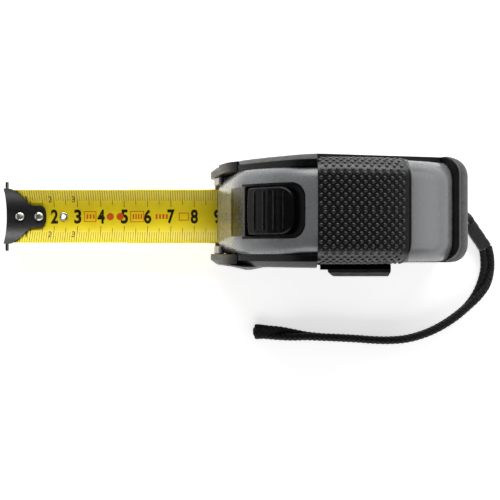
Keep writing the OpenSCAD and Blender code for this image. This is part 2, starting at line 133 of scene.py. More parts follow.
M = {
    "grey": material("grey_abs", (0.145, 0.150, 0.153), 0.27, coat=0.25, coat_rough=0.12, ior=1.52,
                     grain=[(2600, 0.035, 0.00002)], var=(60, 0.012), rough_var=(300, 0.015)),
    "rubber": material("black_rubber", (0.010, 0.010, 0.010), 0.42, spec=0.38,
                       grain=[(3800, 0.35, 0.00005), (900, 0.12, 0.00008)], var=(300, 0.18), rough_var=(700, 0.07)),
    "dots": material("dot_rubber", (0.003, 0.003, 0.003), 0.33, spec=0.50,
                     grain=[(4200, 0.22, 0.00004)], var=(400, 0.15), rough_var=(900, 0.06)),
    # bumper rubber: a darker, duller copy of the black rubber; the darker tone is painted shade on the rear bumpers
    "bumper": material("bumper_rubber_painted_shade", (0.006, 0.006, 0.006), 0.5, spec=0.2,
                       grain=[(3800, 0.35, 0.00005), (900, 0.12, 0.00008)], var=(300, 0.18), rough_var=(700, 0.06)),
    "dot": material("dot_crown", (0.010, 0.010, 0.0105), 0.31, spec=0.60,
                    grain=[(4200, 0.15, 0.00003)], var=(900, 0.25), rough_var=(900, 0.06)),
    # bumper bead: lighter grey than the black rubber, a painted highlight line along the bumper's rim
    "bead": material("bumper_bead_painted_highlight", (0.10, 0.10, 0.10), 0.35, spec=0.6, grain=[(3800, 0.2, 0.00003)], var=(300, 0.15),
                     rough_var=(700, 0.06)),
    "gloss": material("gloss_plastic", (0.004, 0.004, 0.004), 0.26, spec=0.75, coat=0.0, coat_rough=0.08, ior=1.5,
                      grain=[(1200, 0.04, 0.00003)], var=(300, 0.15), rough_var=(500, 0.04)),
    "plastic": material("black_plastic", (0.0025, 0.0025, 0.0025), 0.32, spec=0.16,
                        grain=[(3000, 0.15, 0.00004)], var=(500, 0.15), rough_var=(600, 0.06)),
    "inner": material("inner_plastic", (0.05, 0.05, 0.052), 0.45, grain=[(2000, 0.15, 0.00004)], var=(200, 0.1)),
    "hook": material("hook_steel", (0.016, 0.016, 0.0165), 0.38, spec=0.4, coat=0.05, coat_rough=0.25,
                     grain=[(3200, 0.18, 0.00003)], var=(500, 0.2), rough_var=(900, 0.08)),
    "clip": material("clip_steel", (0.0012, 0.0012, 0.0013), 0.5, metallic=0.0, ior=1.3, spec=0.12, coat=0.0,
                     grain=[(2600, 0.12, 0.00003)], var=(300, 0.2), rough_var=(500, 0.08)),
    "rivet": material("rivet_steel", (0.80, 0.78, 0.72), 0.30, metallic=1.0,
                      grain=[(2500, 0.1, 0.00002)], var=(900, 0.12), rough_var=(900, 0.1)),
    "screw": material("screw_steel", (0.16, 0.16, 0.17), 0.35, metallic=0.9,
                      grain=[(2500, 0.12, 0.00002)], var=(900, 0.2), rough_var=(900, 0.1)),
    "spring": material("spring_steel", (0.30, 0.32, 0.36), 0.3, metallic=1.0, aniso=0.4, var=(300, 0.2)),
    "braid": material("braid", (0.007, 0.007, 0.0072), 0.60, spec=0.22, sheen=0.05,
                      grain=[(5200, 0.6, 0.00006)], var=(1800, 0.35)),
    "ferrule": material("ferrule", (0.028, 0.028, 0.028), 0.42, spec=0.5,
                        grain=[(2600, 0.25, 0.00004)], var=(700, 0.2), rough_var=(700, 0.08)),
    "ink": material("scale_ink", (0.018, 0.014, 0.004), 0.42, spec=0.2, coat=0.0, grain=[(4000, 0.1, 0.00002)], var=(1500, 0.25)),
    "red_ink": material("red_ink", (0.74, 0.10, 0.012), 0.42, spec=0.2, coat=0.0, grain=[(4000, 0.1, 0.00002)], var=(1500, 0.12)),
    "blade": material("blade_lacquer", (0.93, 0.735, 0.012), 0.42, coat=0.12, coat_rough=0.15, spec=0.25,
                      grain=[(1400, 0.05, 0.00003)], var=(160, 0.04), rough_var=(400, 0.05)),
}


def put(o, m):
    o.data.materials.clear()
    o.data.materials.append(M[m])
    return o


# ------------------------------------------------------------------ helpers
def new_object(name, me):
    o = bpy.data.objects.new(name, me)
    scene.collection.objects.link(o)
    return o


def mesh_from(name, verts, faces, smooth=35):
    me = bpy.data.meshes.new(name)
    me.from_pydata([tuple(v) for v in verts], [], [tuple(f) for f in faces])
    me.validate()
    me.update()
    bm = bmesh.new()
    bm.from_mesh(me)
    bmesh.ops.recalc_face_normals(bm, faces=bm.faces)
    bm.to_mesh(me)
    bm.free()
    shade(me, smooth)
    return new_object(name, me)


def shade(me, smooth=35):
    me.polygons.foreach_set("use_smooth", [True] * len(me.polygons))
    me.set_sharp_from_angle(angle=math.radians(smooth))
    me.update()


def weigh(o):
    """Flat faces keep their own normal; the rounding takes the change."""
    md = o.modifiers.new("weigh", "WEIGHTED_NORMAL")
    md.mode = "FACE_AREA"
    md.keep_sharp = True
    md.weight = 50
    apply_all(o)


def refine(node, name, mat, bevel=0.25, limit=38, segments=2, smooth=32, body="case", cuts=()):
    """A finished copy of a CAD node: clean faces, rounded edges, smooth shading."""
    src = NODES[node].data
    bm = bmesh.new()
    bm.from_mesh(src)
    bmesh.ops.remove_doubles(bm, verts=bm.verts, dist=2e-6)
    bmesh.ops.dissolve_limit(bm, angle_limit=math.radians(0.6), verts=bm.verts, edges=bm.edges)
    me = bpy.data.meshes.new(name)
    bm.to_mesh(me)
    bm.free()
    o = new_object(name, me)
    me.polygons.foreach_set("use_smooth", [True] * len(me.polygons))
    for c in cuts:
        md = o.modifiers.new("cut", "BOOLEAN")
        md.operation = "DIFFERENCE"
        md.solver = "EXACT"
        md.object = c
        apply_all(o)
        bpy.data.objects.remove(c)
    if bevel > 0:
        md = o.modifiers.new("bevel", "BEVEL")
        md.width = bevel * MM
        md.segments = segments
        md.limit_method = "ANGLE"
        md.angle_limit = math.radians(limit)
        md.use_clamp_overlap = True
        md.miter_outer = "MITER_ARC"
        apply_all(o)
    shade(o.data, smooth)
    weigh(o)
    put(o, mat)
    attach(o, body)
    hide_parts(node)
    return o


def apply_all(o):
    dg = bpy.context.evaluated_depsgraph_get()
    me = bpy.data.meshes.new_from_object(o.evaluated_get(dg), preserve_all_data_layers=True, depsgraph=dg)
    old = o.data
    o.modifiers.clear()
    o.data = me
    me.name = o.name
    bpy.data.meshes.remove(old)


def join_into(o, verts, faces, smooth=40, mat=None):
    """Adds more closed solids to a piece's mesh."""
    me = o.data
    index = 0
    if mat:
        me.materials.append(M[mat])
        index = len(me.materials) - 1
    bm = bmesh.new()
    bm.from_mesh(me)
    vs = [bm.verts.new(v) for v in verts]
    for f in faces:
        nf = bm.faces.new([vs[i] for i in f])
        nf.smooth = True
        nf.material_index = index
    bm.to_mesh(me)
    bm.free()
    shade(me, smooth)


# ------------------------------------------------------------------- cords
GAP = 2.9
FERRULE_Z = 2.3
strap_mid = [(67.8, -13.6, 0), (68.6, -17.5, 0), (68.7, -23, 0), (67, -29, 30), (63.6, -34.5, 70),
             (59.5, -39, 90), (54, -43.6, 90), (47, -48, 90), (40, -51, 90), (33, -52.8, 90), (25.5, -53.4, 90),
             (18.5, -53.2, 90), (11.5, -52.7, 90), (4, -52.3, 90), (-3, -52, 90), (-10, -51.5, 80),
             (-16, -51, 50), (-21, -50.5, 20), (-26, -50.1, 0), (-30, -49.8, 0)]


def unit(v):
    v = np.array(v, float)
    return v / np.linalg.norm(v)


def strap_route():
    n = len(strap_mid)
    xy = [np.array([p[0], p[1], 0.0]) for p in strap_mid]

    def side(i):
        if i == 0:
            return np.array([0.83, 0.56, 0])
        t = unit(xy[min(i + 1, n - 1)] - xy[max(i - 1, 0)])
        return np.array([-t[1], t[0], 0])

    def z(i):
        return FERRULE_Z if i == 0 else 1.8 if i == 1 else 1.45

    low, high = [], []
    for i, p in enumerate(strap_mid):
        a = math.radians(p[2])
        low.append(xy[i] - GAP / 2 * math.cos(a) * side(i) + [0, 0, z(i)])
        high.append(xy[i] + GAP / 2 * math.cos(a) * side(i) + [0, 0, z(i) + GAP * math.sin(a)])
    turn = [np.array([-30 - 1.6 * math.cos(math.radians(a)), -49.8 + GAP / 2 * math.sin(math.radians(a)), 1.45])
            for a in (-54, -18, 18, 54)]
    if np.linalg.norm(turn[0] - low[-1]) > np.linalg.norm(turn[-1] - low[-1]):
        turn = turn[::-1]
    return np.array(low + turn + high[::-1])


def anchor_route():
    mid = [(60.7, -3.1, 2.3), (59.2, -1.5, 4), (57, -0.5, 7.4), (54.5, -0.3, 11.2), (51.5, -0.2, 13.6)]
    gap = [(1.2, 0.8, 0), (1.1, 1, 0.4), (0.9, 1.1, 1), (0.6, 0.9, 1.8), (0, 0.4, 2.5)]
    a = [np.add(m, g) for m, g in zip(mid, gap)]
    b = [np.subtract(m, g) for m, g in zip(mid, gap)]
    arc = [np.array([47.4 + 2.7 * math.cos(math.radians(t)), 0, 14.2 + 2.7 * math.sin(math.radians(t))])
           for t in range(90, 271, 36)]
    return np.array(a + arc + b[::-1])


def smooth_path(pts, step):
    """Centripetal curve through the points, resampled evenly."""
    pts = np.array(pts, float)
    ext = np.vstack([2 * pts[0] - pts[1], pts, 2 * pts[-1] - pts[-2]])
    out = []
    for i in range(1, len(ext) - 2):
        p0, p1, p2, p3 = ext[i - 1:i + 3]
        t0 = 0.0
        t1 = t0 + np.linalg.norm(p1 - p0) ** 0.5
        t2 = t1 + np.linalg.norm(p2 - p1) ** 0.5
        t3 = t2 + np.linalg.norm(p3 - p2) ** 0.5
        for t in np.linspace(t1, t2, 24, endpoint=False):
            a1 = (t1 - t) / (t1 - t0) * p0 + (t - t0) / (t1 - t0) * p1
            a2 = (t2 - t) / (t2 - t1) * p1 + (t - t1) / (t2 - t1) * p2
            a3 = (t3 - t) / (t3 - t2) * p2 + (t - t2) / (t3 - t2) * p3
            b1 = (t2 - t) / (t2 - t0) * a1 + (t - t0) / (t2 - t0) * a2
            b2 = (t3 - t) / (t3 - t1) * a2 + (t - t1) / (t3 - t1) * a3
            out.append((t2 - t) / (t2 - t1) * b1 + (t - t1) / (t2 - t1) * b2)
    out.append(pts[-1])
    out = np.array(out)
    d = np.concatenate([[0], np.cumsum(np.linalg.norm(np.diff(out, axis=0), axis=1))])
    n = max(8, int(round(d[-1] / step)))
    s = np.linspace(0, d[-1], n + 1)
    return np.stack([np.interp(s, d, out[:, k]) for k in range(3)], axis=1), d[-1]


def braid_tube(name, path, radius, around=28, strands=4, pitch=5.2, depth=0.17, floor=None, shape=None):
    n = len(path)
    verts, faces = [], []
    tang = [unit(path[min(i + 1, n - 1)] - path[max(i - 1, 0)]) for i in range(n)]
    up = np.array([0, 0, 1.0])
    nrm = unit(up - up.dot(tang[0]) * tang[0]) if abs(up.dot(tang[0])) < 0.95 else np.array([1.0, 0, 0])
    step = np.linalg.norm(path[1] - path[0])
    for i in range(n):
        t = tang[i]
        nrm = unit(nrm - nrm.dot(t) * t)
        bi = np.cross(t, nrm)
        s = i * step
        for j in range(around):
            th = 2 * math.pi * j / around
            a = math.cos(strands * th + 2 * math.pi * s / pitch)
            b = math.cos(strands * th - 2 * math.pi * s / pitch)
            over = math.cos(strands * th) * math.cos(2 * math.pi * s / pitch)
            h = max(a, b) - 0.25 * abs(over)
            r = radius - depth + depth * h
            cx, cy = math.cos(th), math.sin(th)
            if shape:
                up_r, side_r, power = shape(i / (n - 1))
                k = (abs(cx) ** power + abs(cy) ** power) ** (-1 / power)
                cx, cy = cx * k * up_r, cy * k * side_r
            p = path[i] + r * (cx * nrm + cy * bi)
            if floor is not None and p[2] < floor:
                p = np.array([p[0], p[1], floor])
            verts.append(p * MM)
    for i in range(n - 1):
        for j in range(around):
            k = (j + 1) % around
            faces.append((i * around + j, i * around + k, (i + 1) * around + k, (i + 1) * around + j))
    faces.append(tuple(range(around - 1, -1, -1)))
    faces.append(tuple((n - 1) * around + j for j in range(around)))
    return mesh_from(name, verts, faces, smooth=75)


loop_path, loop_len = smooth_path(strap_route(), 0.24)
loop = braid_tube("strap_braid", loop_path, 1.66, around=24, pitch=2.1, depth=0.2, floor=0.06)
put(loop, "braid")
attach(loop, "case")
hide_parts("strap_loop")
anchor_path, anchor_len = smooth_path(anchor_route(), 0.24)
anchor = braid_tube("anchor_braid", anchor_path, 1.48, around=24, pitch=2.1, depth=0.2)
put(anchor, "braid")
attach(anchor, "case")
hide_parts("strap_anchor_loop")


def rounded_bar(name, a, b, width, height, radius, ends=0.5, rows=10, groove=0.0):
    """A flat bar with a rounded section between two points, with softened ends."""
    a, b = np.array(a, float), np.array(b, float)
    t = unit(b - a)
    side = unit(np.cross([0, 0, 1.0], t))
    up = np.cross(t, side)
    length = np.linalg.norm(b - a)
    sec = []
    for cxs, czs, a0 in ((1, 1, 0), (-1, 1, 90), (-1, -1, 180), (1, -1, 270)):
        for k in range(7):
            an = math.radians(a0 + 15 * k)
            sec.append((cxs * (width / 2 - radius) + radius * math.cos(an), czs * (height / 2 - radius) + radius * math.sin(an)))
    verts, faces = [], []
    stations = [(0, 0.86), (ends * 0.3, 0.95), (ends, 1.0)]
    for k in range(rows):
        u = ends + (length - 2 * ends) * (k + 1) / (rows + 1)
        stations.append((u, 1.0 - groove * (1 if k in (2, 7) else 0)))
    stations += [(length - ends, 1.0), (length - ends * 0.3, 0.95), (length, 0.86)]
    for u, sc in stations:
        for x, z in sec:
            verts.append((a + t * u + side * x * sc + up * z * sc) * MM)
    m = len(sec)
    for i in range(len(stations) - 1):
        for j in range(m):
            k = (j + 1) % m
            faces.append((i * m + j, i * m + k, (i + 1) * m + k, (i + 1) * m + j))
    faces.append(tuple(range(m - 1, -1, -1)))
    faces.append(tuple((len(stations) - 1) * m + j for j in range(m)))
    return mesh_from(name, verts, faces, smooth=40)


ferrule = rounded_bar("ferrule", (60.75, -3.17, FERRULE_Z), (67.75, -13.53, FERRULE_Z), 5.6, 3.5, 0.9, groove=0.05)
put(ferrule, "ferrule")
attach(ferrule, "case")
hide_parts("strap_ferrule")


def end_shape(u):
    w = np.interp(u, [0, 0.03, 0.10, 0.35, 0.7, 1], [1.75, 1.98, 2.06, 1.96, 1.7, 1.5])
    return np.interp(u, [0, 0.05, 0.9, 1], [0.86, 0.98, 0.98, 0.9]), w, np.interp(u, [0, 0.5, 1], [3.6, 3.0, 2.2])


end_path, _ = smooth_path([(-32.3, -49.78, 1.5), (-29.5, -49.8, 1.5), (-26, -50.1, 1.5), (-22.5, -50.4, 1.5)], 0.24)
sleeve = braid_tube("strap_end", end_path, 1.62, around=48, strands=7, pitch=2.1, depth=0.17, floor=0.05, shape=end_shape)
put(sleeve, "braid")
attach(sleeve, "case")
lp = strap_route()

# ------------------------------------------------------------- case pieces
def prism(name, section, ya, yb, bevel, smooth=35, segments=3):
    bm = bmesh.new()
    a = [bm.verts.new((x * MM, ya * MM, z * MM)) for x, z in section]
    b = [bm.verts.new((x * MM, yb * MM, z * MM)) for x, z in section]
    bm.faces.new(a)
    bm.faces.new(b[::-1])
    n = len(section)
    for i in range(n):
        bm.faces.new((a[i], b[i], b[(i + 1) % n], a[(i + 1) % n]))
    bmesh.ops.recalc_face_normals(bm, faces=bm.faces)
    me = bpy.data.meshes.new(name)
    bm.to_mesh(me)
    bm.free()
    o = new_object(name, me)
    me.polygons.foreach_set("use_smooth", [True] * len(me.polygons))
    if bevel == 0:
        return o
    md = o.modifiers.new("bevel", "BEVEL")
    md.width = bevel * MM
    md.segments = segments
    md.limit_method = "ANGLE"
    md.angle_limit = math.radians(38)
    apply_all(o)
    shade(o.data, smooth)
    weigh(o)
    return o



def drum(x, z, r, ya, yb, seg=72):
    return prism("drum", [(x + r * math.cos(t), z + r * math.sin(t)) for t in np.linspace(0, 2 * math.pi, seg, endpoint=False)],
                 ya, yb, 0.0)


def capsule(x, z, length, width, tilt, seg=10):
    pts = []
    for sgn in (1, -1):
        for t in np.linspace(-math.pi / 2, math.pi / 2, seg):
            u, v = sgn * (length / 2 - width / 2 + width / 2 * math.cos(t)), sgn * width / 2 * math.sin(t)
            pts.append((x + u * math.cos(tilt) - v * math.sin(tilt), z + u * math.sin(tilt) + v * math.cos(tilt)))
    return pts


case_l = refine("case_left", "shell_left", "grey", bevel=0.25)
case_r = refine("case_right", "shell_right", "grey", bevel=0.25)
refine("mouth_guard", "mouth_lip", "grey", bevel=0.45, segments=3)
arm_l = refine("side_armour_left", "armour_left", "rubber", bevel=0.4, segments=3,
               cuts=[drum(3, 39, 20.5, 20.1, 24)])
arm_r = refine("side_armour_right", "armour_right", "rubber", bevel=0.4, segments=3)
bum_l = refine("rear_bumper_left", "bumper_left", "bumper", bevel=0.4, segments=3)
bum_r = refine("rear_bumper_right", "bumper_right", "bumper", bevel=0.4, segments=3)
sad_l = refine("grip_saddle_left", "saddle_left", "dots", bevel=0.4, segments=3)
sad_r = refine("grip_saddle_right", "saddle_right", "dots", bevel=0.4, segments=3)
refine("lock_bezel", "bezel", "plastic", bevel=0.15)
refine("lock_lever", "lever", "inner", bevel=0.3, body="lock")
refine("brake_pad", "brake", "rubber", bevel=0.4, body="lock")
refine("lock_spring", "detent", "spring", bevel=0.08)
refine("spindle", "axle", "inner", bevel=0.3)
refine("spool_hub", "hub", "inner", bevel=0.3, body="spool")
refine("spool_flange_left", "flange_l", "inner", bevel=0.2, body="spool")
refine("spool_flange_right", "flange_r", "inner", bevel=0.2, body="spool")
refine("mainspring", "power_spring", "spring", bevel=0)
refine("blade_coil", "coil", "blade", bevel=0.1, body="spool")
refine("end_hook", "hook", "hook", bevel=0.16, body="hook")


def lathe(name, parts, seg=48, smooth=40):
    """Closed turned pieces standing on Z: (x, y, profile of r and z from the bottom up)."""
    verts, faces = [], []
    for x, y, prof in parts:
        base = len(verts)
        closed = prof[0][0] > 0
        for r, z in prof:
            for k in range(seg):
                t = 2 * math.pi * k / seg
                verts.append(((x + r * math.cos(t)) * MM, (y + r * math.sin(t)) * MM, z * MM))
        n = len(prof)
        for i in range(n if closed else n - 1):
            j = (i + 1) % n
            for k in range(seg):
                m = (k + 1) % seg
                faces.append((base + i * seg + k, base + i * seg + m, base + j * seg + m, base + j * seg + k))
    return mesh_from(name, verts, faces, smooth)


dome = [(1.9 * math.sin(t), 7.72 + 0.80 * (math.cos(t) - math.cos(1.35)) / (1 - math.cos(1.35)))
        for t in np.linspace(1.35, 0.02, 12)]
dome = [(r * 1.9 / (1.9 * math.sin(1.35)), z) for r, z in dome]
shank = [(0.001, 6.06), (1.15, 6.06), (1.15, 7.45), (1.8, 7.5), (1.9, 7.6)]
o = lathe("rivets", [(x, 0, shank + dome + [(0.001, dome[-1][1])]) for x in (-132.7, -124.6)])
put(o, "rivet")
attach(o, "blade")
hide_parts("hook_rivets")
ringp = [(0.72, 6.1), (1.08, 6.1), (1.1, 6.35), (1.7, 6.38), (1.82, 6.5), (1.75, 6.72), (1.45, 6.9), (1.1, 6.85),
         (0.85, 6.65), (0.74, 6.4)]
o = lathe("eyelet", [(-114.2, 0, ringp)])
put(o, "rivet")
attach(o, "blade")
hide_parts("blade_eyelet")
refine("belt_clip", "clip", "clip", bevel=0.25, segments=3)
refine("belt_clip_screw", "clip_screw", "screw", bevel=0.15)
scr = refine("case_screws", "screws", "screw", bevel=0.15)
for q in scr.data.vertices:
    if abs(q.co.x - 0.033) < 0.004 and abs(q.co.z - 0.0605) < 0.004 and q.co.y < -0.0160:
        q.co.y = -0.0160 + (q.co.y + 0.0160) * 0.2
scr.data.update()
refine("strap_pin", "pin", "rivet", bevel=0.15)
blade = refine("blade_front", "blade_strip", "blade", bevel=0, body="blade")
blade2 = refine("blade_inner", "blade_strip_2", "blade", bevel=0, body="blade_follow")


# ------------------------------------------------------------ profile maths
def ease(p, n):
    for _ in range(n):
        q = []
        for i in range(len(p)):
            a, b = np.array(p[i]), np.array(p[(i + 1) % len(p)])
            q += [0.75 * a + 0.25 * b, 0.25 * a + 0.75 * b]
        p = q
    return np.array(p)


BODY = ease([(-47, 0), (-48.4, 2), (-48.2, 14), (-44, 40), (-40.5, 55), (-36, 62),
             (-25, 71), (-13, 77), (-5, 79.3), (5, 79), (20, 75), (31, 69.5), (41, 61.5),
             (46, 53), (48.2, 43), (48.6, 30), (48.6, 6), (46.8, 1.8), (42.6, 0)], 2)


def top_at(x):
    """Height and outward normal of the case's top at x."""
    best = None
    for i in range(len(BODY)):
        a, b = BODY[i], BODY[(i + 1) % len(BODY)]
        if (a[0] - x) * (b[0] - x) <= 0 and a[0] != b[0]:
            z = a[1] + (b[1] - a[1]) * (x - a[0]) / (b[0] - a[0])
            if best is None or z > best[0]:
                d = b - a
                best = (z, unit([-d[1], d[0]]) if d[0] > 0 else unit([d[1], -d[0]]))
    z, n = best
    if n[1] < 0:
        n = -n
    return z, n


def top_smooth(x):
    z, n = top_at(x)
    ns = [top_at(x + k)[1] for k in (-2, -1, 0, 1, 2)]
    return z, unit(np.mean(ns, axis=0))


def over_edge(x):
    return 70 - (x + 10) * 21.9 / 70


# dots of the grip saddle
def cap(verts, faces, p, n, r, h, seg=9):
    n = unit(n)
    a = unit(np.cross(n, [0.3, 0.2, 0.93] if abs(n[2]) < 0.9 else [1.0, 0, 0]))
    b = np.cross(n, a)
    base = len(verts)
    rings = [(1.0, -0.25), (0.95, 0.30), (0.74, 0.70), (0.40, 0.93)]
    for rr, hh in rings:
        for k in range(seg):
            t = 2 * math.pi * k / seg
            verts.append((p + n * h * hh + r * rr * (math.cos(t) * a + math.sin(t) * b)) * MM)
    verts.append((p + n * h) * MM)
    for i in range(len(rings) - 1):
        for k in range(seg):
            j = (k + 1) % seg
            faces.append((base + i * seg + k, base + i * seg + j, base + (i + 1) * seg + j, base + (i + 1) * seg + k))
    top = base + len(rings) * seg
    for k in range(seg):
        faces.append((base + (len(rings) - 1) * seg + k, base + (len(rings) - 1) * seg + (k + 1) % seg, top))
    faces.append(tuple(base + k for k in range(seg - 1, -1, -1)))


def saddle_dots(sign):
    verts, faces = [], []
    flat, ry, rz = 11.6, 7.4, 7.0
    arc = 0.5 * math.pi * 7.2
    row = 0
    s = 0.77
    while s < flat + arc + 20:
        x = -10.2 + (1.42 if row % 2 else 0)
        while x < 22.4:
            z0, n = top_smooth(x)
            if s <= flat:
                inset, y, nn = -0.2, s, np.array([n[0], 0, n[1]])
            elif s <= flat + arc:
                a = (s - flat) / 7.2
                inset, y = -0.2 + rz * (1 - math.cos(a)), flat + ry * math.sin(a)
                nn = unit([n[0] * math.cos(a), math.sin(a), n[1] * math.cos(a)])
            else:
                inset, y, nn = 6.8 + (s - flat - arc), flat + ry, np.array([0, 1.0, 0])
            px, pz = x - inset * n[0], z0 - inset * n[1]
            if pz > over_edge(px) + 1.2 and -9.3 < px < 22.3:
                p = np.array([px, sign * y, pz])
                cap(verts, faces, p, nn * [1, sign, 1], 0.74, 0.50, 12)
            x += 2.84
        s += 1.53
        row += 1
    return verts, faces


for o, sign in ((sad_l, 1), (sad_r, -1)):
    v, f = saddle_dots(sign)
    if sign < 0:
        f = [tuple(reversed(q)) for q in f]
    join_into(o, v, f, smooth=60, mat="dot")


# the armour's up-facing rim gets the smoother, darker black plastic; its darker tone is painted shade, set apart from
# the sides
for o in (arm_l, arm_r):
    o.data.materials.append(M["plastic"])
    for q in o.data.polygons:
        c = q.center / MM
        if abs(c.y) < 18.75 and c.z > 16:
            q.material_index = 1


# nose blocks, cheeks and the lock's apron
def curve2(pts, n):
    c, _ = smooth_path([(x, 0, z) for x, z in pts], 0.3)
    return [(p[0], p[2]) for p in c][::max(1, n)]


for s in (1, -1):
    side = "left" if s > 0 else "right"
    o = prism("nose_block_" + side, [(-46.6, 29.6), (-46.85, 31.0), (-43.5, 42.2), (-41.0, 46.4), (-39.2, 48.2),
                                     (-38.4, 47.4), (-41.0, 43.0), (-45.4, 29.8)], s * 16.1, s * 20.0, 0.2)
    put(o, "plastic")
    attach(o, "case")
    o = prism("cheek_" + side, [(-49.28, 12.4), (-49.28, 13.9), (-47.2, 22.4), (-46.2, 23.2), (-44.8, 22.0), (-45.6, 12.4)],
              s * 12.65, s * 15.95, 0.35)
    put(o, "grey")
    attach(o, "case")
o = prism("lock_apron", [(-40.5, 54.3), (-40.1, 55.7), (-36.75, 62.0), (-36.2, 62.6), (-35.75, 62.45), (-34.4, 60.7),
                         (-34.6, 59.8), (-36.6, 58.0), (-39.8, 54.2)], -9.25, 9.25, 0.14, smooth=30)
put(o, "gloss")
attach(o, "case")

# flush cap over the rear screw's counterbore
cap_me = case_l.data.copy()
bm = bmesh.new()
bm.from_mesh(cap_me)
for q in bm.verts:
    q.co.y *= -1
bmesh.ops.reverse_faces(bm, faces=bm.faces)
bm.to_mesh(cap_me)
bm.free()
cap_me.name = "screw_cap"
cap_o = new_object("screw_cap", cap_me)
cutter = drum(33, 60.5, 2.76, -30, -14.6)
md = cap_o.modifiers.new("cut", "BOOLEAN")
md.operation = "INTERSECT"
md.solver = "EXACT"
md.object = cutter
apply_all(cap_o)
bpy.data.objects.remove(cutter)
shade(cap_o.data, 32)
weigh(cap_o)
put(cap_o, "grey")
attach(cap_o, "case")

# raised bead round the rear bumper's upper edge; its lighter grey colour is a painted highlight line
def rim_x(z, d):
    run = np.array([p for p in BODY if p[0] > 15 and p[1] > 25])
    t = np.gradient(run, axis=0)
    t /= np.linalg.norm(t, axis=1)[:, None]
    n = np.stack([-t[:, 1], t[:, 0]], axis=1)
    n[n[:, 0] < 0] *= -1
    off = run + n * d
    off = off[np.argsort(off[:, 1])]
    return float(np.interp(z, off[:, 1], off[:, 0]))


def bead(name, half, sign, z):
    pts = []
    for y in np.concatenate([np.linspace(0.02, half - 7, 8), half - 7 + 6.6 * np.sin(np.linspace(0.15, 1.45, 9))]):
        drop = 0 if y < half - 7 else 6 * (1 - math.sqrt(max(0, 1 - ((y - half + 7) / 7) ** 2)))
        pts.append((rim_x(z, 2.9 - drop) - 0.35, sign * y, z + 0.02))
    path, _ = smooth_path(pts, 0.5)
    o = braid_tube(name, path, 0.30, around=10, depth=0.0)
    put(o, "bead")
    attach(o, "case")


bead("bumper_bead_left", 20.9, 1, 61.0)
bead("bumper_bead_right", 19.0, -1, 61.0)

# side panel, its ring and the grip bars
o = lathe("side_disc", [(0, 0, [(0.001, 0.0), (19.9, 0.0), (19.9, 0.35), (19.6, 0.6), (17.9, 0.62), (17.6, 0.42),
                                (17.2, 0.42), (16.9, 0.66), (12.0, 0.74), (0.001, 0.78)])], seg=96, smooth=25)
for q in o.data.vertices:
    x, y, z = q.co
    q.co = (0.003 + x, 0.0201 + z, 0.039 - y)
o.data.update()
weigh(o)
put(o, "grey")
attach(o, "case")
bars = []
for s, ys in ((1, 20.9), (-1, 20.9)):
    for k in range(5):
        bar_x, bar_z, bar_l = -39.2 + 4.3 * k, 24.5 + 2.4 * k, 15 - 0.6 * k
        if s < 0 and k == 0:
            # stops short of the front case screw
            bar_x, bar_z, bar_l = -37.6, 28.2, 8
        o = prism("grip_bar_%s_%d" % ("left" if s > 0 else "right", k),
                  capsule(bar_x, bar_z, bar_l, 1.9, math.radians(66)),
                  s * (ys - 0.5), s * (ys + 0.38), 0.3)
        put(o, "rubber")
        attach(o, "case")
for k in range(4):
    o = prism("grip_bar_rear_%d" % k, capsule(24.5 + 4.2 * k, 13.8, 11, 1.9, math.radians(66)), 20.4, 21.28, 0.3)
    put(o, "rubber")
    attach(o, "case")

# rounded rim at the saddle's rear edge
for s in (1, -1):
    pts = []
    z0, n = top_smooth(23.75)
    for y in np.linspace(0.02, 11.4, 6):
        pts.append((23.75 - 0.1 * n[0], s * y, z0 - 0.1 * n[1]))
    for t in np.linspace(0.15, 1.5, 9):
        d = -0.2 + 7.0 * (1 - math.cos(t)) + 0.35
        pts.append((23.75 - d * n[0], s * (11.6 + 7.3 * math.sin(t)), z0 - d * n[1]))
    path, _ = smooth_path(pts, 0.5)
    path[:, 0] += np.clip((np.abs(path[:, 1]) - 9) / 10, 0, 1) ** 2 * -0.4
    o = braid_tube("saddle_rim_" + ("left" if s > 0 else "right"), path, 0.62, around=14, depth=0.0)
    put(o, "dots")
    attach(o, "case")

# faceted lug low on the clip side
bm = bmesh.new()
lug = [(-45.0, -20.3), (-41.2, -20.9), (-36.0, -22.1), (-34.0, -22.1), (-27.0, -20.7), (-25.0, -20.3)]
lo_v = [bm.verts.new((x * MM, y * MM, 0.052)) for x, y in [(-40.5, -20.3), (-39.0, -20.6), (-36.2, -20.9), (-34.0, -20.9), (-29.0, -20.6), (-27.5, -20.3)]]
mid_v = [bm.verts.new((x * MM, y * MM, 0.0445)) for x, y in lug]
hi_v = [bm.verts.new((x * MM, y * MM, 0.036)) for x, y in [(-43.5, -20.3), (-40.5, -20.6), (-36.2, -20.95), (-34.0, -20.95), (-29.0, -20.6), (-27.5, -20.3)]]
for a, b in ((lo_v, mid_v), (mid_v, hi_v)):
    for k in range(5):
        bm.faces.new((a[k], a[k + 1], b[k + 1], b[k]))
back = bm.faces.new([lo_v[0], mid_v[0], hi_v[0], hi_v[5], mid_v[5], lo_v[5]])
bm.faces.new(lo_v[::-1])
bm.faces.new(hi_v)
bmesh.ops.recalc_face_normals(bm, faces=bm.faces)
lme = bpy.data.meshes.new("side_lug")
bm.to_mesh(lme)
bm.free()
lug_o = new_object("side_lug", lme)
lme.polygons.foreach_set("use_smooth", [True] * len(lme.polygons))
md = lug_o.modifiers.new("bevel", "BEVEL")
md.width = 0.25 * MM
md.segments = 2
apply_all(lug_o)
shade(lug_o.data, 20)
weigh(lug_o)
put(lug_o, "rubber")
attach(lug_o, "case")

# ------------------------------------------------------------ thumb button
SX, SZ = -36.5, 58.5


def on_slope(u, y, n):
    return np.array([SX + 0.8 * u - 0.6 * n, y, SZ + 0.6 * u + 0.8 * n])


